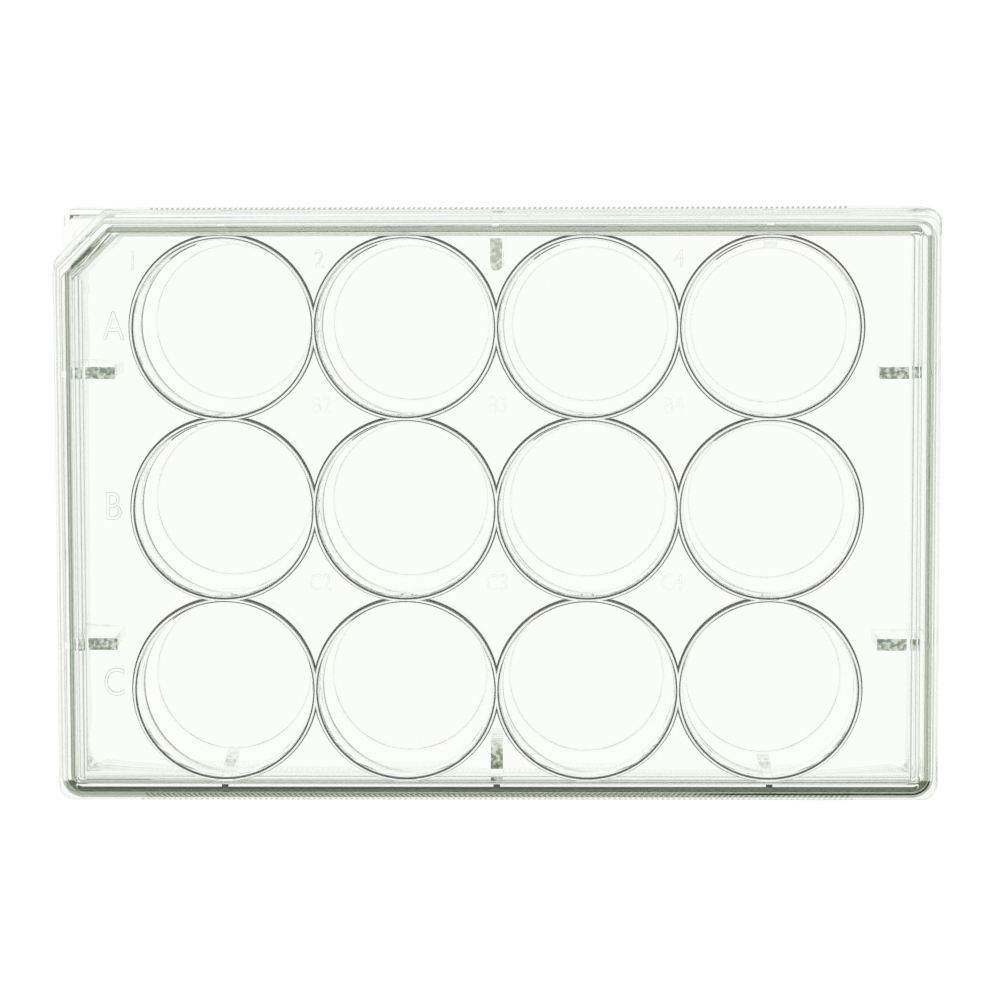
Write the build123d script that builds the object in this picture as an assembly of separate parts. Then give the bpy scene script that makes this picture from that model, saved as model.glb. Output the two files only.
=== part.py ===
from build123d import *
import os

# Twelve-well culture plate with its lid, millimetres.
# Origin: centre of the footprint on the table. +X runs along the columns 1 to 4,
# +Y towards row A, +Z up. The corner of well A1 is at -X, +Y.

# ---- footprint flange ----
footprint_length = 127.76
footprint_width = 85.48
flange_height = 2.2
flange_corner = 1.8

# ---- skirt: the wall below the shoulder that the lid reaches down to ----
skirt_setback = 1.05          # flange edge to skirt, each side
skirt_draft = 1.5             # degrees
shoulder_height = 12.8
wall = 1.2

# ---- border: the wall above the shoulder, inside the lid ----
border_setback = 2.6          # flange edge to border, each side
border_draft = 0.5
border_wall = 0.8
border_corner = 1.6
border_cut = 6.4              # leg of the bevelled A1 corner
plate_height = 20.2
deck_drop = 1.0               # top of the border down to the deck
deck_thickness = 1.2

# ---- wells ----
columns = 4
rows = 3
pitch = 26.0
web = 0.6                     # between the mouths of neighbouring wells
well_taper = 1.35             # how much narrower the floor's radius is than the mouth's
well_floor = 2.9              # table to the inside floor
floor_thickness = 1.2
rim_thickness = 0.5           # thin raised rim round the mouth
foot_wall = 0.55              # wall at the foot of the well

# ---- gussets between the walls and the deck or wells ----
gusset_thickness = 1.7
gusset_reach = 5.6            # border's inner face to the gusset's free edge
gusset_bottom = 5.0
side_gusset_y = 19.5

# ---- lid ----
lid_clearance = 1.0           # border to the lid's skirt at its lower edge, each side
lid_lower_gap = 0.5           # shoulder to the lid's lower edge
lid_vent = 0.4                # border to the lid's shoulder, held open by the rest pads
lid_wall = 1.1
lid_draft = 3.0
lid_bead = 0.5                # how far the bead stands out from the skirt
lid_bead_height = 1.0
lid_cut_step = 0.9            # how much longer the lid's bevel leg is than the border's
lid_corner = 2.0
lid_edge_round = 0.5
panel_end_inset = 2.9         # lid skirt to the raised panel at the two ends
panel_side_inset = 1.65       # and along the two long sides
panel_cut = 5.6               # leg of the panel's bevel
panel_rise = 1.1
pad_width = 0.95              # rest pads under the lid's shoulder

overlap = 0.2                 # how far joined features run into each other

# ---- levels and sizes that follow ----
deck_top = plate_height - deck_drop
deck_bottom = deck_top - deck_thickness
shoulder_bottom = shoulder_height - wall
well_mouth_radius = (pitch - web) / 2
well_floor_radius = well_mouth_radius - well_taper
well_bottom = well_floor - floor_thickness
border_face = border_setback + border_wall
skirt_face = skirt_setback + wall
lid_bottom = shoulder_height + lid_lower_gap
lid_shoulder = plate_height + lid_vent
lid_shoulder_top = lid_shoulder + lid_wall
lid_setback = border_setback - lid_clearance - lid_wall
lid_cut = border_cut + lid_cut_step
panel_top = lid_shoulder_top + panel_rise
panel_bottom = panel_top - lid_wall
panel_setback = lid_setback + panel_side_inset
panel_end_step = panel_end_inset - panel_side_inset
outer_column = (columns - 1) * pitch / 2
well_centres = GridLocations(pitch, pitch, columns, rows)


def outline(setback, corner, cut=0, end_step=0):
    """Rounded rectangle set back from the footprint, with the A1 corner cut off if asked.

    The two ends can be set back further by end_step.
    """
    face = Rectangle(footprint_length - 2 * (setback + end_step), footprint_width - 2 * setback)
    if cut:
        a1 = face.vertices().sort_by(lambda v: v.X - v.Y)[0]
        face = chamfer(a1, cut)
    return fillet(face.vertices(), corner)


def drafted(setback, corner, bottom, top, draft=0, cut=0, end_step=0):
    """Block on an outline, narrower towards the top by the draft angle."""
    base = Pos(0, 0, bottom) * outline(setback, corner, cut, end_step)
    return extrude(base, top - bottom, taper=draft)


def turned(*profile):
    """Solid of revolution about +Z from (radius, height) points."""
    return revolve(Plane.XZ * make_face(Polyline(*profile, close=True)), Axis.Z)


def well_body():
    """Outside of one well: a cup that narrows to its foot, under an upright rim."""
    rim_radius = well_mouth_radius + rim_thickness
    foot_radius = well_floor_radius + foot_wall
    return turned(
        (0, well_bottom),
        (foot_radius, well_bottom),
        (rim_radius, deck_top),
        (rim_radius, plate_height),
        (0, plate_height),
    )


def well_bore():
    """Inside of one well, narrower at the floor than at the mouth."""
    return turned(
        (0, well_floor),
        (well_floor_radius, well_floor),
        (well_mouth_radius, plate_height),
        (well_mouth_radius, plate_height + overlap),
        (0, plate_height + overlap),
    )


def round_the_sides(make_rib):
    """Copies of an upright rib at the rib places of all four sides.

    make_rib(half_size) gives one rib on the +X side, for a side that far from the centre.
    """
    end_rib = make_rib(footprint_length / 2)
    side_rib = make_rib(footprint_width / 2)
    ribs = []
    for y in (-side_gusset_y, side_gusset_y):
        ribs.append(Pos(0, y) * end_rib)
        ribs.append(Pos(0, y) * Rot(0, 0, 180) * end_rib)
    for x in (-outer_column, 0, outer_column):
        ribs.append(Pos(x, 0) * Rot(0, 0, 90) * side_rib)
        ribs.append(Pos(x, 0) * Rot(0, 0, -90) * side_rib)
    return ribs


def gusset(half_size):
    """Rib under the deck that follows the inside of the border, the shoulder and the skirt."""
    free_edge = half_size - border_face - gusset_reach
    border_side = half_size - border_face + overlap
    skirt_side = half_size - skirt_face
    profile = Polyline(
        (free_edge, gusset_bottom),
        (skirt_side, gusset_bottom),
        (skirt_side, shoulder_bottom + overlap),
        (border_side, shoulder_bottom + overlap),
        (border_side, deck_bottom + overlap),
        (free_edge, deck_bottom + overlap),
        close=True,
    )
    return extrude(Plane.XZ * make_face(profile), gusset_thickness / 2, both=True)


def rest_pad(half_size):
    """Low rib under the lid's shoulder, which stands on the border."""
    inner_end = half_size - border_face
    outer_end = half_size - lid_setback - lid_wall / 2
    profile = Polyline(
        (inner_end, plate_height),
        (outer_end, plate_height),
        (outer_end, lid_shoulder + overlap),
        (inner_end, lid_shoulder + overlap),
        close=True,
    )
    return extrude(Plane.XZ * make_face(profile), pad_width / 2, both=True)


def make_plate():
    """Flange, skirt, border, deck, wells and gussets, moulded as one piece."""
    flange = drafted(0, flange_corner, 0, flange_height)
    skirt = drafted(skirt_setback, flange_corner, flange_height - overlap, shoulder_height, skirt_draft)
    border = drafted(
        border_setback, border_corner, shoulder_height - overlap, plate_height, border_draft, border_cut
    )
    shell = flange + skirt + border

    skirt_hollow = drafted(skirt_face, flange_corner, -overlap, shoulder_bottom, skirt_draft)
    border_hollow = drafted(border_face, border_corner / 2, 0, deck_bottom, border_draft, border_cut)
    moat = drafted(border_face, border_corner / 2, deck_top, plate_height + overlap, 0, border_cut)
    shell = shell - skirt_hollow - border_hollow - moat

    shell = shell + round_the_sides(gusset)
    shell = shell + [place * well_body() for place in well_centres]
    return shell - [place * well_bore() for place in well_centres]


def make_lid():
    """Loose cover with a raised panel, a bevelled A1 corner and pads that rest on the border."""
    bead_top = lid_bottom + lid_bead_height
    bead = drafted(lid_setback - lid_bead, lid_corner, lid_bottom, bead_top, lid_draft, lid_cut)
    skirt = drafted(lid_setback, lid_corner, lid_bottom, lid_shoulder_top, lid_draft, lid_cut)
    top_edges = skirt.edges().group_by(Axis.Z)[-1]
    skirt = fillet(top_edges, lid_edge_round)
    panel = drafted(
        panel_setback, lid_corner / 2, lid_shoulder, panel_top, lid_draft, panel_cut, panel_end_step
    )

    hollow = drafted(
        lid_setback + lid_wall, lid_corner / 2, lid_bottom - overlap, lid_shoulder, lid_draft, lid_cut
    )
    panel_hollow = drafted(
        panel_setback + lid_wall,
        lid_corner / 2,
        lid_shoulder - overlap,
        panel_bottom,
        lid_draft,
        panel_cut,
        panel_end_step,
    )
    return bead + skirt + panel - hollow - panel_hollow + round_the_sides(rest_pad)


os.makedirs("parts", exist_ok=True)
export_step(make_plate(), "parts/plate.step")
export_step(make_lid(), "parts/lid.step")
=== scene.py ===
import bpy
import math
from mathutils import Matrix, Vector


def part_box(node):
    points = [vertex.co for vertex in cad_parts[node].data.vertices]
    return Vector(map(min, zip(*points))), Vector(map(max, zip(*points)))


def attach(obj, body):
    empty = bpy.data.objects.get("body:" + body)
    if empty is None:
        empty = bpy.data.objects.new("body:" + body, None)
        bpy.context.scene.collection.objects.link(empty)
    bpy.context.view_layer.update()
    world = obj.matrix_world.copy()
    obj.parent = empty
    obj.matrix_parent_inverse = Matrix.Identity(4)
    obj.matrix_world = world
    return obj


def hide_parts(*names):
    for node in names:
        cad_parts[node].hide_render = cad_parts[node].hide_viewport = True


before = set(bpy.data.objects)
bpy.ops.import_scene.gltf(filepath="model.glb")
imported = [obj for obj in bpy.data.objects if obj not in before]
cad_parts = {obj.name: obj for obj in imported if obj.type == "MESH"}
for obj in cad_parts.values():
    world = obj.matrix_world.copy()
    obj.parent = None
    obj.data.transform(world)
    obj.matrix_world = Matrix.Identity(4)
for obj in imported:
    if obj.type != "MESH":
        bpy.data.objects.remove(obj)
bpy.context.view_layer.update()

# Clear culture plate with its loose lid, one clean moulding each, in the packed
# model's frame: X along the columns, +Y towards row A, Z up from the table.
# Sizes are in millimetres until they are multiplied by mm.

mm = 0.001
plateLow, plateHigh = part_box("plate")
footLength = (plateHigh.x - plateLow.x) / mm
footWidth = (plateHigh.y - plateLow.y) / mm
plateTop = plateHigh.z / mm
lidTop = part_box("lid")[1].z / mm      # the box's highest corner


# Modelling helpers. An operator acts on all that is selected, so each one picks first.

def deselectAll():
    if bpy.context.mode != "OBJECT":
        bpy.ops.object.mode_set(mode="OBJECT")
    bpy.ops.object.select_all(action="DESELECT")


def choose(piece):
    deselectAll()
    piece.select_set(True)
    bpy.context.view_layer.objects.active = piece


def applyPlace():
    bpy.ops.object.transform_apply(location=True, rotation=True, scale=True)


def clearPicks(piece):
    choose(piece)
    for parts in (piece.data.vertices, piece.data.edges, piece.data.polygons):
        parts.foreach_set("select", [False] * len(parts))


def editPicks(mode):
    bpy.context.tool_settings.mesh_select_mode = mode
    bpy.ops.object.mode_set(mode="EDIT")


def pickEdges(piece, wanted):
    clearPicks(piece)
    corners = piece.data.vertices
    for edge in piece.data.edges:
        edge.select = wanted(*[corners[i].co / mm for i in edge.vertices])
    editPicks((False, True, False))


def pickFaces(piece, wanted):
    clearPicks(piece)
    for face in piece.data.polygons:
        face.select = wanted(face.center / mm, face.normal)
    editPicks((False, False, True))


def combine(piece, tool, how):
    choose(piece)
    cut = piece.modifiers.new("combine", "BOOLEAN")
    cut.operation = how
    cut.solver = "MANIFOLD"
    cut.object = tool
    bpy.ops.object.modifier_apply(modifier=cut.name)
    bpy.data.objects.remove(tool)


def copyAt(piece, x, y):
    twin = piece.copy()
    twin.data = piece.data.copy()
    bpy.context.collection.objects.link(twin)
    choose(twin)
    twin.location = (x * mm, y * mm, 0)
    applyPlace()
    return twin


def addBox(x, y, z, length, width, height):
    deselectAll()
    bpy.ops.mesh.primitive_cube_add(size=mm, location=(x * mm, y * mm, z * mm), scale=(length, width, height))
    applyPlace()
    return bpy.context.object


roundSteps = {"corner": 12, "cutCorner": 6, "top": 4, "low": 3}


# A block on the footprint's outline, set back from it, with the A1 corner cut off if asked.
def addBlock(name, setback, bottom, top, corner, cut=0, draft=0, endStep=0, topRound=0, lowRound=0):
    length = footLength - 2 * (setback + endStep)
    width = footWidth - 2 * setback
    height = top - bottom
    near = 0.01
    block = addBox(0, 0, bottom + height / 2, length, width, height)
    block.name = name

    def upright(a, b):
        return abs(a.z - b.z) > 0.5 * height

    def atCut(a, b):
        return bool(cut) and upright(a, b) and a.x < 0 and a.y > 0

    if draft:
        lean = 2 * height * math.tan(math.radians(draft))
        pickFaces(block, lambda centre, normal: normal.z > 0.9)
        bpy.ops.transform.resize(
            value=((length - lean) / length, (width - lean) / width, 1), center_override=(0, 0, 0))
    if cut:
        pickEdges(block, atCut)
        bpy.ops.mesh.bevel(offset=cut * mm, segments=1, affect="EDGES")
        pickEdges(block, atCut)     # each of the cut's two edges turns by 45 degrees
        bpy.ops.mesh.bevel(
            offset=corner * math.tan(math.radians(22.5)) * mm, segments=roundSteps["cutCorner"], affect="EDGES")
    pickEdges(block, lambda a, b: upright(a, b) and not atCut(a, b))
    bpy.ops.mesh.bevel(offset=corner * mm, segments=roundSteps["corner"], affect="EDGES")
    if topRound:
        pickEdges(block, lambda a, b: a.z > top - near and b.z > top - near)
        bpy.ops.mesh.bevel(offset=topRound * mm, segments=roundSteps["top"], affect="EDGES")
    if lowRound:
        pickEdges(block, lambda a, b: a.z < bottom + near and b.z < bottom + near)
        bpy.ops.mesh.bevel(offset=lowRound * mm, segments=roundSteps["low"], affect="EDGES")
    deselectAll()
    return block


# A round solid, extruded and resized ring by ring up the profile's (radius, height) points.
def addTurned(name, profile, sides):
    deselectAll()
    radius, height = profile[0]
    bpy.ops.mesh.primitive_circle_add(
        vertices=sides, radius=radius * mm, fill_type="NGON", location=(0, 0, height * mm))
    turned = bpy.context.object
    turned.name = name
    applyPlace()
    bpy.ops.object.mode_set(mode="EDIT")
    bpy.ops.mesh.select_all(action="SELECT")
    for nextRadius, nextHeight in profile[1:]:
        bpy.ops.mesh.extrude_region_move(TRANSFORM_OT_translate={"value": (0, 0, (nextHeight - height) * mm)})
        bpy.ops.transform.resize(value=(nextRadius / radius, nextRadius / radius, 1), center_override=(0, 0, 0))
        radius, height = nextRadius, nextHeight
    bpy.ops.mesh.select_all(action="SELECT")
    bpy.ops.mesh.normals_make_consistent(inside=False)
    bpy.ops.object.mode_set(mode="OBJECT")
    return turned


def arc(radius, centreRadius, centreHeight, start, end, steps=5):
    turns = [math.radians(start + (end - start) * i / steps) for i in range(steps + 1)]
    return [(centreRadius + radius * math.cos(t), centreHeight + radius * math.sin(t)) for t in turns]


def finishMesh(piece, weld=1e-7, angle=30):
    choose(piece)
    bpy.ops.object.mode_set(mode="EDIT")
    bpy.ops.mesh.select_all(action="SELECT")
    bpy.ops.mesh.remove_doubles(threshold=weld)
    bpy.ops.mesh.normals_make_consistent(inside=False)
    bpy.ops.object.mode_set(mode="OBJECT")
    bpy.ops.object.shade_smooth_by_angle(angle=math.radians(angle))
    print(piece.name, "faces", len(piece.data.polygons),
          "triangles", sum(len(f.vertices) - 2 for f in piece.data.polygons))


# Camera, nearly straight above.

view = {
    "place": (11.4, 54.6, 577.6), "aim": (0.54, 1.36, 20.2), "acrossFrame": 142.84, "roll": -0.144,
    "sensor": 36, "near": 0.01, "far": 10,
}


def addCamera():
    place, aim = Vector(view["place"]) * mm, Vector(view["aim"]) * mm
    back = (place - aim).normalized()
    roll = math.radians(view["roll"])
    right = Vector((-math.sin(roll), math.cos(roll), 0)).cross(back).normalized()
    camera = bpy.data.objects.new("camera", bpy.data.cameras.new("camera"))
    bpy.context.collection.objects.link(camera)
    camera.location = place
    camera.rotation_euler = Matrix((right, back.cross(right), back)).transposed().to_euler()
    camera.data.sensor_width = view["sensor"]
    camera.data.lens = view["sensor"] * (place - aim).length / (view["acrossFrame"] * mm)
    camera.data.clip_start = view["near"]
    camera.data.clip_end = view["far"]
    bpy.context.scene.camera = camera
    print("camera placed")


# Plate. runIn is how far joined blocks run into each other, cutClear how far a cutter stands out.

plate = {
    "flangeTop": 2.2, "flangeCorner": 1.8, "skirtSetback": 1.05, "skirtDraft": 1.5, "shoulder": 12.8, "wall": 1.2,
    "borderSetback": 2.6, "borderWall": 0.8, "borderDraft": 0.5, "borderCorner": 1.6, "borderCut": 6.4,
    "deckDrop": 1.0, "deckThickness": 1.2, "edgeRound": 0.3, "hollowStart": 0.5, "runIn": 0.5, "cutClear": 1,
    "columns": 4, "rows": 3, "pitch": 26.0, "mouth": 12.7, "floorRadius": 11.35, "wellFloor": 2.9,
    "floorThickness": 1.2, "floorRound": 0.35, "rim": 0.5, "rimRound": 0.14, "collar": 0.6,
    "footWall": 0.55, "footRound": 0.3, "sides": 224,
    "ledgeHeight": 16.0, "ledgeRadius": 12.33, "ledge": 0.08, "ledgeRise": 0.04,
    "gussetThickness": 1.7, "gussetReach": 5.6, "gussetBottom": 5.0, "gussetRunIn": 0.1, "sideGussetY": 19.5,
    "gripPitch": 0.77, "gripReach": 51.0, "gripWidth": 0.3, "gripDepth": 0.12, "gripTool": 1,
    "labelHeight": 0.15, "labelNarrow": 0.8, "labelSoft": 0.012, "labelWeld": 0.04, "labelSink": 0.05,
    "labels": [
        ("A", 5.9, -54.6, 26.0), ("B", 5.8, -54.9, 0.2), ("C", 5.8, -55.0, -25.2),
        ("1", 3.9, -51.8, 35.4), ("2", 3.7, -25.2, 35.6), ("3", 3.7, 0.6, 35.6), ("4", 3.7, 26.0, 35.7),
        ("B2", 3.4, -25.0, 14.8), ("B3", 3.4, 0.2, 14.8), ("B4", 3.4, 25.2, 14.7),
        ("C2", 3.4, -25.3, -10.7), ("C3", 3.4, 0.1, -10.7), ("C4", 3.4, 25.1, -10.7),
    ],
}
deck = plateTop - plate["deckDrop"]
borderFace = plate["borderSetback"] + plate["borderWall"]
rimRadius = plate["mouth"] + plate["rim"]
lastColumn, sideRows = plate["columns"] - 1, (plate["rows"] - 1) / 2
outerColumn = lastColumn / 2 * plate["pitch"]


# Ribs at the rib places of all four sides. Each part of a rib runs from inner out to its own
# outer end, both measured in from the footprint, and from its bottom to its top.
def addRibs(base, thickness, inner, parts):
    places = [(side, y, True) for side in (-1, 1) for y in (-plate["sideGussetY"], plate["sideGussetY"])]
    places += [(side, x, False) for side in (-1, 1) for x in (-outerColumn, 0, outerColumn)]
    for side, along, onEnd in places:
        for outer, bottom, top in parts:
            across = side * ((footLength if onEnd else footWidth) / 2 - (inner + outer) / 2)
            z, height = (bottom + top) / 2, top - bottom
            if onEnd:
                rib = addBox(across, along, z, inner - outer, thickness, height)
            else:
                rib = addBox(along, across, z, thickness, inner - outer, height)
            combine(base, rib, "UNION")


def addGrip(base):
    p = plate
    tool = p["gripTool"]
    for side in (-1, 1):
        across = side * (footWidth / 2 + tool / 2 - p["gripDepth"])
        groove = addBox(-p["gripReach"], across, p["flangeTop"] / 2, p["gripWidth"], tool, p["flangeTop"] + tool)
        row = groove.modifiers.new("row", "ARRAY")
        row.count = int(2 * p["gripReach"] / p["gripPitch"])
        row.use_relative_offset = False
        row.use_constant_offset = True
        row.constant_offset_displace = (p["gripPitch"] * mm, 0, 0)
        bpy.ops.object.modifier_apply(modifier=row.name)
        combine(base, groove, "DIFFERENCE")


def addLabel(words, size, x, y):
    p = plate
    soft = p["labelSoft"] * size        # width and height of the letter's sloping edge
    height = p["labelHeight"] - soft
    deselectAll()
    bpy.ops.object.text_add(location=(0, 0, 0))
    text = bpy.context.object.data
    text.body = words
    text.size = size * mm
    text.align_x = "CENTER"
    text.align_y = "CENTER"
    text.resolution_u = 4
    text.extrude = height / 2 * mm
    bpy.ops.object.convert(target="MESH")
    label = bpy.context.object
    label.name = "label"
    label.location = (x * mm, y * mm, (deck - p["labelSink"] + height / 2) * mm)
    label.scale = (p["labelNarrow"], 1, 1)
    applyPlace()
    choose(label)
    bpy.ops.object.mode_set(mode="EDIT")
    bpy.ops.mesh.select_all(action="SELECT")
    bpy.ops.mesh.remove_doubles(threshold=p["labelWeld"] * mm)
    bpy.ops.mesh.normals_make_consistent(inside=False)
    pickFaces(label, lambda centre, normal: normal.z > 0.9)
    bpy.ops.mesh.dissolve_limited(angle_limit=math.radians(1))
    bpy.ops.mesh.inset(thickness=soft * mm, depth=soft * mm, use_even_offset=False)
    bpy.ops.object.mode_set(mode="OBJECT")
    return label


# The deck is cut into triangles first, because one face with many letters in it comes out badly.
def addLabels(base):
    choose(base)
    bpy.ops.object.mode_set(mode="EDIT")
    bpy.ops.mesh.select_all(action="SELECT")
    bpy.ops.mesh.quads_convert_to_tris(quad_method="BEAUTY", ngon_method="BEAUTY")
    for words, size, x, y in plate["labels"]:
        before = len(base.data.polygons)
        combine(base, addLabel(words, size, x, y), "UNION")
        if len(base.data.polygons) <= before:
            print("label", words, "was not joined")


def addShell():
    p = plate
    face, clear, runIn, corner = borderFace, p["cutClear"], p["runIn"], p["borderCorner"]
    base = addBlock("plateMoulding", 0, 0, p["flangeTop"], p["flangeCorner"], topRound=p["edgeRound"])
    combine(base, addBlock("skirt", p["skirtSetback"], p["flangeTop"] - runIn, p["shoulder"], p["flangeCorner"],
                           draft=p["skirtDraft"], topRound=p["edgeRound"]), "UNION")
    combine(base, addBlock("border", p["borderSetback"], p["shoulder"] - runIn, plateTop, corner,
                           p["borderCut"], p["borderDraft"], topRound=p["edgeRound"]), "UNION")
    combine(base, addBlock("hollow", p["skirtSetback"] + p["wall"], -clear, p["shoulder"] - p["wall"],
                           p["flangeCorner"], draft=p["skirtDraft"]), "DIFFERENCE")
    combine(base, addBlock("hollow", face, p["hollowStart"], deck - p["deckThickness"], corner / 2,
                           p["borderCut"], p["borderDraft"]), "DIFFERENCE")
    combine(base, addBlock("moat", face, deck, plateTop + clear, corner / 2, p["borderCut"],
                           lowRound=p["edgeRound"]), "DIFFERENCE")

    runIn = p["gussetRunIn"]
    addRibs(base, p["gussetThickness"], face + p["gussetReach"], [
        (face - runIn, p["gussetBottom"], deck - p["deckThickness"] + runIn),
        (p["skirtSetback"] + p["wall"], p["gussetBottom"], p["shoulder"] - p["wall"] + runIn),
    ])
    addGrip(base)
    print("plate shell made")
    return base


def addPlate():
    p = plate
    rimRound, footRound, floorRound = p["rimRound"], p["footRound"], p["floorRound"]
    footRadius = p["floorRadius"] + p["footWall"]
    lowArc = (-72, 0, 4)        # degrees from and to, and steps: the flat face's edge comes first
    wellFoot = p["wellFloor"] - p["floorThickness"]
    base = addShell()
    cup = addTurned(
        "cup",
        [(footRadius - footRound, wellFoot)] + arc(footRound, footRadius - footRound, wellFoot + footRound, *lowArc)
        + [(rimRadius, deck - p["collar"])] + arc(rimRound, rimRadius - rimRound, plateTop - rimRound, 0, 90),
        p["sides"])
    bore = addTurned(
        "bore",
        [(p["floorRadius"] - floorRound, p["wellFloor"])]
        + arc(floorRound, p["floorRadius"] - floorRound, p["wellFloor"] + floorRound, *lowArc)
        + [(p["ledgeRadius"], p["ledgeHeight"]), (p["ledgeRadius"] + p["ledge"], p["ledgeHeight"] + p["ledgeRise"])]
        + arc(rimRound, p["mouth"] + rimRound, plateTop - rimRound, 180, 90)
        + [(p["mouth"] + rimRound, plateTop + p["cutClear"])],
        p["sides"])
    wells = [((column - lastColumn / 2) * p["pitch"], (sideRows - row) * p["pitch"])
             for row in range(p["rows"]) for column in range(p["columns"])]
    for tool, how in ((cup, "UNION"), (bore, "DIFFERENCE")):
        for x, y in wells:
            combine(base, copyAt(tool, x, y), how)
        bpy.data.objects.remove(tool)
    addLabels(base)
    finishMesh(base)
    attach(base, "root")
    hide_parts("plate")
    return base


# Lid. The pads stop padLift above the border: two clear faces in one place would come out black.

lid = {
    "clearance": 1.0, "lowerGap": 0.5, "vent": 0.4, "wall": 1.1, "draft": 3.0, "bead": 0.5, "beadHeight": 1.0,
    "cutStep": 0.9, "corner": 2.0, "edgeRound": 0.5, "softRound": 0.35, "runIn": 0.5, "cutClear": 1,
    "panelEnd": 2.9, "panelSide": 1.65, "panelCut": 5.6, "padWidth": 0.95, "padLift": 0.02, "padRunIn": 0.2,
}
lidSetback = plate["borderSetback"] - lid["clearance"] - lid["wall"]
lidCut = plate["borderCut"] + lid["cutStep"]
panelSetback = lidSetback + lid["panelSide"]
lidUnder = plateTop + lid["vent"]           # underside of the lid's shoulder
lidShoulder = lidUnder + lid["wall"]        # and its top


def addLid():
    l = lid
    bottom = plate["shoulder"] + l["lowerGap"]
    endStep = l["panelEnd"] - l["panelSide"]
    wall, draft, corner, soft = l["wall"], l["draft"], l["corner"], l["softRound"]
    shell = addBlock("lidMoulding", lidSetback - l["bead"], bottom, bottom + l["beadHeight"], corner, lidCut, draft,
                     topRound=soft, lowRound=soft)
    combine(shell, addBlock("lidSkirt", lidSetback, bottom, lidShoulder, corner, lidCut, draft,
                            topRound=l["edgeRound"]), "UNION")
    combine(shell, addBlock("panel", panelSetback, lidUnder, lidTop, corner / 2, l["panelCut"], draft, endStep,
                            topRound=soft), "UNION")
    combine(shell, addBlock("hollow", lidSetback + wall, bottom - l["cutClear"], lidUnder, corner / 2, lidCut,
                            draft, topRound=soft), "DIFFERENCE")
    combine(shell, addBlock("hollow", panelSetback + wall, lidUnder - l["runIn"], lidTop - wall, corner / 2,
                            l["panelCut"], draft, endStep, topRound=soft), "DIFFERENCE")
    addRibs(shell, l["padWidth"], borderFace,
            [(lidSetback + wall / 2, plateTop + l["padLift"], lidUnder + l["padRunIn"])])
    finishMesh(shell)
    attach(shell, "root")
    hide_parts("lid")
    return shell


# Shader maths. A wire is one output socket, and a board is one material's nodes.

class Wire:
    def __init__(self, board, socket):
        self.board, self.socket = board, socket

    def maths(self, operation, *others):
        return self.board.node("ShaderNodeMath", {"operation": operation}, [self, *others])

    def __add__(self, other):
        return self.maths("ADD", other)

    def __sub__(self, other):
        return self.maths("SUBTRACT", other)

    def __mul__(self, other):
        return self.maths("MULTIPLY", other)

    def __truediv__(self, other):
        return self.maths("DIVIDE", other)

    def __rsub__(self, other):
        return self * -1 + other

    def __pow__(self, power):
        return self.maths("POWER", power)

    __radd__, __rmul__ = __add__, __mul__

    def __abs__(self):
        return self.maths("ABSOLUTE")

    def most(self, other):
        return self.maths("MAXIMUM", other)

    def least(self, other):
        return self.maths("MINIMUM", other)

    def rises(self, low, high, start=0, end=1):
        return self.board.node(
            "ShaderNodeMapRange", {"interpolation_type": "SMOOTHSTEP"},
            {"Value": self, "From Min": low, "From Max": high, "To Min": start, "To Max": end})

    def falls(self, low, high):
        return self.rises(low, high, 1, 0)

    def strip(self, low, high, soft=0.05):
        core = (high - low) / 2 - soft / 2
        return abs(self - (low + high) / 2).falls(core, core + soft)


class Board:
    def __init__(self, tree):
        self.tree = tree

    def node(self, kind, settings=None, inputs=None, output=0):
        made = self.tree.nodes.new(kind)
        for name, value in (settings or {}).items():
            if name == "stops":
                ramp = made.color_ramp.elements
                while len(ramp) < len(value):
                    ramp.new(0.5)
                for stop, (place, colour) in zip(ramp, value):
                    stop.position, stop.color = place, (*colour, 1)
            else:
                setattr(made, name, value)
        pairs = inputs.items() if isinstance(inputs, dict) else enumerate(inputs or [])
        for name, value in pairs:
            if isinstance(value, Wire):
                self.tree.links.new(value.socket, made.inputs[name])
            else:
                made.inputs[name].default_value = value
        return Wire(self, made.outputs[output]) if made.outputs else None


# Clear plastic. A mark is painted shade in the base colour, in place of the dark lines that refraction draws at the
# edges: it darkens what is seen through the plastic, by 0 for none up to 1, and deepening is how fast each channel
# darkens with it. Frost is where the plastic is matt.

glass = {
    "ior": 1.59, "clear": (0.995, 1.0, 0.987), "deepening": (5.1, 4.4, 5.8), "darkest": 0.02,
    "frostRoughness": 0.35, "frostBump": 0.5, "frostDepth": 0.0004,
}


def clearMaterial(name, marks):
    material = bpy.data.materials.new(name)
    material.use_nodes = True
    links = material.node_tree.links
    board = Board(material.node_tree)
    shader = [n for n in material.node_tree.nodes if n.type == "BSDF_PRINCIPLED"][0]
    shader.inputs["Roughness"].default_value = 0
    shader.inputs["IOR"].default_value = glass["ior"]
    shader.inputs["Transmission Weight"].default_value = 1
    place = board.node("ShaderNodeTexCoord", output="Object")
    x, y, z = [board.node("ShaderNodeSeparateXYZ", None, [place], axis) * (1 / mm) for axis in "XYZ"]
    # shade is the painted shade of all the marks, put into the base colour below.
    shade, frost, grain = marks(board, place, x, y, z)
    tone = (1 - shade).most(glass["darkest"])
    channels = [tone ** power * clear for power, clear in zip(glass["deepening"], glass["clear"])]
    colour = board.node("ShaderNodeCombineColor", None, channels)
    links.new(colour.socket, shader.inputs["Base Color"])
    if frost:
        bump = board.node("ShaderNodeBump", None, {
            "Strength": glass["frostBump"], "Distance": glass["frostDepth"], "Height": grain * frost})
        links.new((frost * glass["frostRoughness"]).socket, shader.inputs["Roughness"])
        links.new(bump.socket, shader.inputs["Normal"])
    return material


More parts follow.
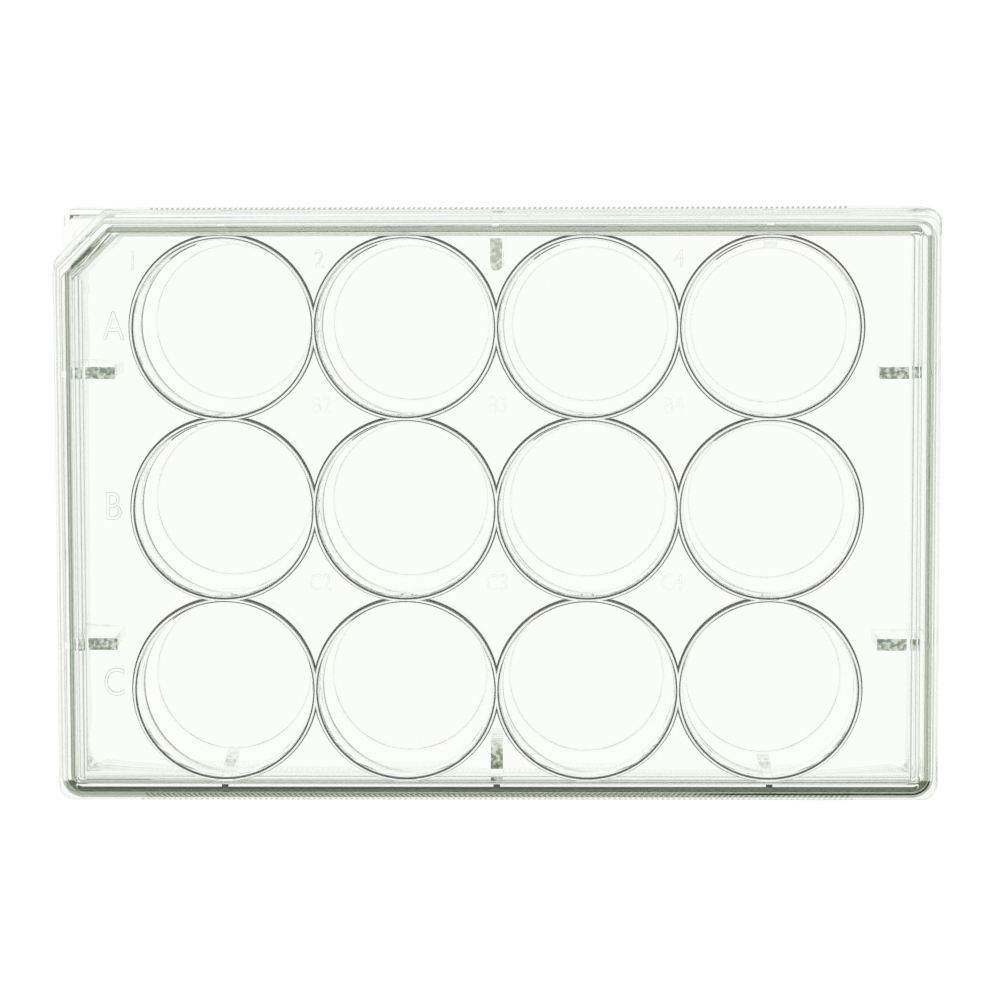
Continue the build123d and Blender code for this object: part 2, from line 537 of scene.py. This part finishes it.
# Where a point is from its nearest well's middle.
def wellPlace(x, y):
    pitch = plate["pitch"]
    column = (x / pitch + lastColumn / 2).maths("ROUND").most(0).least(lastColumn)
    row = (y / pitch).maths("ROUND").most(-sideRows).least(sideRows)
    across, along = x - (column - lastColumn / 2) * pitch, y - row * pitch
    return across, along, (across * across + along * along) ** 0.5


# How far in from the footprint a point is, round an outline's corners and bevel, and whether
# the bevel is the nearest part of it.
def depthInside(x, y, corner, cut, setback):
    fromEnd = corner - (footLength / 2 - abs(x))
    fromSide = corner - (footWidth / 2 - abs(y))
    outside = (fromEnd.most(0) ** 2 + fromSide.most(0) ** 2) ** 0.5
    depth = corner - outside - fromEnd.most(fromSide).least(0)
    bevel = (x - y + (footLength / 2 + footWidth / 2 - 2 * setback - cut)) * math.sqrt(0.5) + setback
    blend = 0.3
    return depth.least(bevel), (bevel - depth).falls(-blend, blend)


def around(level, span):
    return level + span[0], level + span[1]


# One line of painted shade: the measure's strip from start to end, where asked, times its darkness.
def painted(measure, line, where):
    start, end, dark = line
    return measure.strip(start, end) * where * dark


def darkest(marks):
    shade = marks[0]
    for mark in marks[1:]:
        shade = shade.most(mark)
    return shade


# The plate's painted lines, painted shade in place of the dark lines that refraction draws along the border, deck,
# bevel, grip and foot, darkest on the low (-Y) side: where each one starts and ends, then how dark it is.

plateLines = {
    "lowTop": (3.22, 3.42, 0.58), "lowDeck": (3.38, 3.50, 0.58), "lowInner": (4.0, 4.12, 0.24),
    "leftEnd": (4.80, 4.94, 0.18), "bothEnds": (3.90, 4.04, 0.18),
    "bevelOuter": (2.72, 2.86, 0.35), "bevelInner": (3.86, 3.98, 0.35), "bevelStreaks": (2.9, 3.8, 2.16),
    "grip": (0.02, 0.45, 0.3), "footInner": (1.0, 1.22, 0.38), "footOuter": (0.2, 0.3, 0.152),
}

# Rings of painted shade in place of the dark lines that refraction draws round each well: the outer just outside the
# rim, darker at the top, the inner at the mouth, lighter at the top and fading at its top corners, and the tilted one
# down the wall, a painted reflection of the rim, darker at the top left. Rise is 1 at a well's top side (+Y) and lean
# is 1 at its right (+X).

rings = {
    "soft": 0.05,
    "outerRadius": 13.31, "outerHalf": 0.085, "outerWiden": 0.05, "outerDark": 0.82, "outerRise": 0.18,
    "innerRadius": 12.74, "innerHalf": 0.12, "innerNarrow": 0.03, "innerDark": 0.86, "innerRise": 0.12,
    "innerFade": 0.6, "fadeLean": (0.5, 0.7), "fadeRise": (0.2, 0.4),
    "wallBand": (16.4, 17.4), "wallRadius": (12.64, 12.70), "wallLean": 3.0, "wallRise": 0.65,
    "wallDark": 0.4, "wallTurn": 0.36,
}

# The ribs' tabs, at the ends and at the two long sides: painted shade of the ribs seen through the deck, mottled, on
# a frosted patch of the deck.

tabs = {
    "endHalf": (0.8, 0.86), "endReach": (3.9, 9.4), "endGap": (4.7, 5.2), "endDark": 0.36,
    "sideHalf": (0.82, 0.88), "highStart": (4.05, 4.1), "highRound": 7.8, "highDark": 0.19,
    "lowReach": (5.2, 9.4), "lowBorder": (3.4, 4.0), "lowFade": (5.5, 10.5), "lowDark": 0.52,
    "highSide": (0, 1), "lowSide": (-1, 0), "grainScale": 1500.0, "grainDetail": 2.0,
    "mottle": 5.0, "mottleMiddle": 0.85, "mottleLeast": 0.35, "mottleMost": 1.35,
}

# The rest: the zones that marks are held to, and the painted shade in streaks on the bevel, in lines and a dark spot
# at the foot under the bevelled corner, along the teeth of the grip and on the letters' sloping edges.

zones = {
    "low": (-38.8, -38.4), "lowInner": (-38.4, -38.0), "high": (38.2, 38.6), "left": (-57.5, -57),
    "deck": (-0.2, 0.15), "top": (-0.25, -0.15), "rim": (-0.5, -0.25), "outsideRim": (0, 0.05),
    "streakAcross": 3.2, "streakAlong": 0.16, "streakScale": 1.4, "streakDetail": 3.0, "streakFloor": 0.38,
    "footReach": (7.2, 7.8), "footLevel": (2.0, 2.4), "knotPlace": 1.3, "knot": (0.1, 0.35), "knotDark": 0.57,
    "tooth": (0.25, 0.7, 0.1), "toothFade": (0, 0.1), "gripLevel": (1.8, 2.3),
    "letterLevel": (0.005, 0.092), "letterSoft": 0.01, "letterDark": 0.36, "wellLetterDark": 0.14,
    "rowLetters": (-50, -49.5), "columnNumbers": (33, 33.5),
}


# Where the grip's teeth are, for the painted shade along them.
def teeth(x):
    tooth = (x / plate["gripPitch"] + 0.5).maths("FRACT").strip(*zones["tooth"])
    return tooth * abs(x).falls(*around(plate["gripReach"], zones["toothFade"]))


# Painted shade of the three rings, stronger or weaker by the side of the well.
def ringMarks(across, along, radius, z, rim, onDeck):
    r = rings
    rise, lean = along / radius, across / radius
    faded = abs(lean).rises(*r["fadeLean"]) * rise.rises(*r["fadeRise"])
    outer = abs(radius - r["outerRadius"]) - rise * r["outerWiden"]
    inner = abs(radius - r["innerRadius"]) + rise * r["innerNarrow"]
    tilted = z - lean.least(0) * r["wallLean"] - rise * r["wallRise"]
    return [
        outer.falls(r["outerHalf"], r["outerHalf"] + r["soft"]) * rim.most(onDeck)
        * (r["outerDark"] + rise * r["outerRise"]),
        inner.falls(r["innerHalf"], r["innerHalf"] + r["soft"]) * rim
        * (r["innerDark"] - rise * r["innerRise"] - faded * r["innerFade"]),
        tilted.strip(*r["wallBand"]) * radius.falls(*r["wallRadius"])
        * (r["wallDark"] + (rise - lean) * r["wallTurn"]),
    ]


# Painted shade where the ribs show through the deck, mottled by the grain. The frost mask for roughness and bump
# comes back with it.
def tabMarks(x, y, fromEnd, fromSide, onDeck, grain):
    t = tabs
    endTab = (abs(abs(y) - plate["sideGussetY"]).falls(*t["endHalf"]) * fromEnd.strip(*t["endReach"])
              * (1 - fromEnd.strip(*t["endGap"])))
    toMiddle = (x ** 2 + (fromSide - t["highRound"]).most(0) ** 2) ** 0.5
    highTab = toMiddle.falls(*t["sideHalf"]) * fromSide.rises(*t["highStart"]) * y.rises(*t["highSide"])
    lowTab = (abs(x).falls(*t["sideHalf"]) * y.falls(*t["lowSide"])
              * fromSide.strip(*t["lowReach"]).most(fromSide.strip(*t["lowBorder"])))
    mottle = ((grain - 0.5) * t["mottle"] + t["mottleMiddle"]).most(t["mottleLeast"]).least(t["mottleMost"])
    marks = [
        endTab * onDeck * mottle * t["endDark"],
        highTab * onDeck * mottle * t["highDark"],
        lowTab * onDeck * mottle * t["lowDark"] * fromSide.falls(*t["lowFade"]),
    ]
    return marks, highTab, endTab.most(highTab).most(lowTab) * onDeck


def plateMarks(board, place, x, y, z):
    d, s = plateLines, zones
    across, along, radius = wellPlace(x, y)
    outsideWells = radius.rises(*around(rimRadius, s["outsideRim"]))
    depth, atBevel = depthInside(x, y, plate["borderCorner"], plate["borderCut"], plate["borderSetback"])
    low, high, left = y.falls(*s["low"]), y.rises(*s["high"]), x.falls(*s["left"])
    onDeck = z.strip(*around(deck, s["deck"]))
    onTop = z.rises(*around(plateTop, s["top"]))
    rim = z.rises(*around(plateTop, s["rim"]))
    lowDeck = onDeck * low * outsideWells
    endDeck = onDeck * (1 - low.most(high)) * (1 - atBevel) * outsideWells
    bevelDeck = onTop.most(onDeck) * atBevel * outsideWells
    alongBevel = board.node("ShaderNodeCombineXYZ", None, [depth * s["streakAcross"], (x + y) * s["streakAlong"]])
    streak = board.node("ShaderNodeTexNoise", {"noise_dimensions": "2D"},
                        {"Vector": alongBevel, "Scale": s["streakScale"], "Detail": s["streakDetail"]})
    fromEnd, fromSide = footLength / 2 - abs(x), footWidth / 2 - abs(y)
    toEnd, toSide = x + footLength / 2, footWidth / 2 - y
    baseCorner = (toEnd + toSide).falls(*s["footReach"]) * z.strip(*s["footLevel"])
    knot = ((toEnd - s["knotPlace"]) ** 2 + (toSide - s["knotPlace"]) ** 2) ** 0.5
    grain = board.node("ShaderNodeTexNoise", None,
                       {"Vector": place, "Scale": tabs["grainScale"], "Detail": tabs["grainDetail"]})
    tabShadeMarks, highTab, frost = tabMarks(x, y, fromEnd, fromSide, onDeck, grain)
    letters = z.strip(*around(deck, s["letterLevel"]), s["letterSoft"]) * outsideWells * (1 - highTab)
    bolder = x.falls(*s["rowLetters"]).most(y.rises(*s["columnNumbers"]))
    # Painted shade in place of the dark lines that refraction draws at the plate's rims, edges, ribs and letters.
    marks = ringMarks(across, along, radius, z, rim, onDeck) + tabShadeMarks + [
        painted(depth, d["lowTop"], onTop * low),
        painted(depth, d["lowDeck"], lowDeck),
        painted(depth, d["lowInner"], onDeck * y.falls(*s["lowInner"]) * outsideWells),
        painted(depth, d["leftEnd"], endDeck * left),
        painted(depth, d["bothEnds"], endDeck),
        painted(depth, d["bevelOuter"], bevelDeck),
        painted(depth, d["bevelInner"], bevelDeck),
        painted(depth, d["bevelStreaks"], bevelDeck * (streak - s["streakFloor"])),
        painted(fromSide, d["grip"], z.strip(*s["gripLevel"]) * teeth(x)),
        painted(toEnd.least(toSide), d["footInner"], baseCorner),
        painted(toEnd.least(toSide), d["footOuter"], baseCorner),
        knot.falls(*s["knot"]) * baseCorner * s["knotDark"],
        letters * (bolder * (s["letterDark"] - s["wellLetterDark"]) + s["wellLetterDark"]),
    ]
    return darkest(marks), frost, grain


# The lid's painted lines, painted shade in place of the dark lines that refraction draws, on its shoulder, under it
# and on the panel's wall, darkest along the low (-Y) side.

lidLines = {
    "fillet": (1.38, 1.6, 0.12), "lowShoulder": (1.6, 2.2, 0.30), "highLine": (1.68, 1.84, 0.2),
    "leftLine": (1.9, 2.05, 0.12), "rightLine": (1.75, 2.1, 0.2), "panelWall": (2.0, 3.7, 0.2),
    "underLeft": (2.65, 3.25, 0.30), "underRight": (1.85, 2.70, 0.28), "underLow": (2.05, 2.92, 0.62),
    "underHigh": (2.75, 3.20, 0.30), "blackUnder": (2.62, 2.78, 0.98), "blackShoulder": (1.72, 1.98, 0.98),
    "pad": (2.8, 3.3, 0.95), "grip": (0.85, 1.3, 0.12),
}

# Where they are held to, and the fine lines that the painted shade breaks into along them.

lidZones = {
    "low": (-39.2, -38.8), "high": (38.8, 39.2), "left": (-57.5, -57), "right": (57, 57.5), "corner": 4.5,
    "shoulder": (-0.2, 0.1), "under": (-0.4, 0.1), "panelWall": (-1.06, -0.1), "pad": (-0.1, 0.1), "grip": (0.3, 0.4),
    "blackUnder": (15, 35), "blackShoulder": (20, 40), "panelHighLoss": 0.7,
    "fineScale": 5.0, "fineDetail": 3.0, "fine": 1.6, "fineFloor": 0.25,
}


def lidMarks(board, place, x, y, z):
    d, s = lidLines, lidZones
    low, high, left, right = y.falls(*s["low"]), y.rises(*s["high"]), x.falls(*s["left"]), x.rises(*s["right"])
    ends = 1 - low.most(high)
    depth, atBevel = depthInside(x, y, s["corner"], lidCut, lidSetback)
    panelDepth = depthInside(x, y, lid["corner"] / 2, lid["panelCut"], panelSetback)[0]
    noise = board.node("ShaderNodeTexNoise", {"noise_dimensions": "1D"},
                       {"W": depth, "Scale": s["fineScale"], "Detail": s["fineDetail"]})
    fine = noise * s["fine"] + s["fineFloor"]
    shoulder = z.strip(*around(lidShoulder, s["shoulder"]))
    under = z.strip(*around(lidUnder, s["under"]))
    panelWall = z.strip(*around(lidTop, s["panelWall"])) * (1 - high * s["panelHighLoss"])
    # Painted shade for the lid, black in places along the low side, broken into fine lines and along the grip's
    # teeth.
    return darkest([
        painted(depth, d["fillet"], shoulder * (1 + low)),
        painted(depth, d["lowShoulder"], shoulder * low * fine),
        painted(depth, d["highLine"], shoulder * high),
        painted(depth, d["leftLine"], shoulder * ends * left),
        painted(depth, d["rightLine"], shoulder * ends * right),
        painted(panelDepth, d["panelWall"], panelWall),
        painted(depth, d["underLeft"], under * ends * left * fine),
        painted(depth, d["underRight"], under * ends * right * fine),
        painted(depth, d["underLow"], under * low),
        painted(depth, d["blackUnder"], under * low * x.falls(*s["blackUnder"])),
        painted(depth, d["blackShoulder"], shoulder * low * x.rises(*s["blackShoulder"])),
        painted(depth, d["underHigh"], under * high * (1 - atBevel) * fine),
        painted(depth, d["pad"], z.strip(*around(plateTop, s["pad"])) * low),
        painted(depth, d["grip"], z.rises(*around(lidUnder, s["grip"])) * low * teeth(x)),
    ]), None, None


# Floor and light: a light box, white below and overhead with a dark band just above the horizon.

light = {
    "down": (0.0, 0.0, -1.0), "floorSize": 3, "floorDrop": 0.0003, "floorGlow": 0.82, "paper": (0.5, 0.5, 0.5, 1),
    "bounces": 56,
    "stops": [
        (0.0, (0.85, 0.87, 0.85)), (0.20, (0.85, 0.87, 0.85)), (0.30, (0.06, 0.09, 0.08)),
        (0.45, (0.03, 0.05, 0.045)), (0.52, (0.62, 0.66, 0.60)), (0.70, (0.86, 0.88, 0.83)),
        (0.90, (0.97, 0.98, 0.96)), (0.965, (1.0, 1.0, 1.0)),
    ],
}


# The camera sees a white table. Glossy and transmitted rays go through it to the light box.
def addFloor():
    deselectAll()
    bpy.ops.mesh.primitive_plane_add(size=light["floorSize"], location=(0, 0, -light["floorDrop"]))
    floor = bpy.context.object
    floor.name = "floor"
    applyPlace()
    material = bpy.data.materials.new("whiteTable")
    material.use_nodes = True
    material.node_tree.nodes.clear()
    board = Board(material.node_tree)
    camera, glossy, through = [board.node("ShaderNodeLightPath", output="Is %s Ray" % kind)
                               for kind in ("Camera", "Glossy", "Transmission")]
    white = board.node("ShaderNodeEmission", None, {"Strength": light["floorGlow"]})
    paper = board.node("ShaderNodeBsdfDiffuse", None, {"Color": light["paper"]})
    table = board.node("ShaderNodeAddShader", None, [white, paper])
    seen = board.node("ShaderNodeMixShader", None, [camera, paper, table])
    clear = board.node("ShaderNodeBsdfTransparent")
    shown = board.node("ShaderNodeMixShader", None, [glossy.most(through), seen, clear])
    board.node("ShaderNodeOutputMaterial", None, [shown])
    floor.data.materials.append(material)
    print("floor laid")


def addWorld():
    world = bpy.data.worlds.new("lightBox")
    bpy.context.scene.world = world
    world.use_nodes = True
    world.node_tree.nodes.clear()
    board = Board(world.node_tree)
    camera = board.node("ShaderNodeLightPath", output="Is Camera Ray")
    direction = board.node("ShaderNodeTexCoord", output="Generated")
    down = board.node("ShaderNodeVectorMath", {"operation": "DOT_PRODUCT"}, [direction, light["down"]], "Value")
    glow = board.node("ShaderNodeValToRGB", {"stops": light["stops"]}, [down * 0.5 + 0.5])
    box = board.node("ShaderNodeBackground", None, {"Color": glow})
    white = board.node("ShaderNodeBackground", None, {"Color": (1, 1, 1, 1)})
    shown = board.node("ShaderNodeMixShader", None, [camera, box, white])
    board.node("ShaderNodeOutputWorld", None, [shown])
    print("light box lit")


addCamera()
addFloor()
addWorld()
for addPiece, name, marks in ((addPlate, "clearPlate", plateMarks), (addLid, "clearLid", lidMarks)):
    piece = addPiece()
    piece.data.materials.clear()
    piece.data.materials.append(clearMaterial(name, marks))
    print(name, "mixed")

scene = bpy.context.scene
scene.view_settings.view_transform = "Standard"
scene.cycles.max_bounces = light["bounces"]
scene.cycles.transmission_bounces = light["bounces"]
scene.cycles.glossy_bounces = light["bounces"]
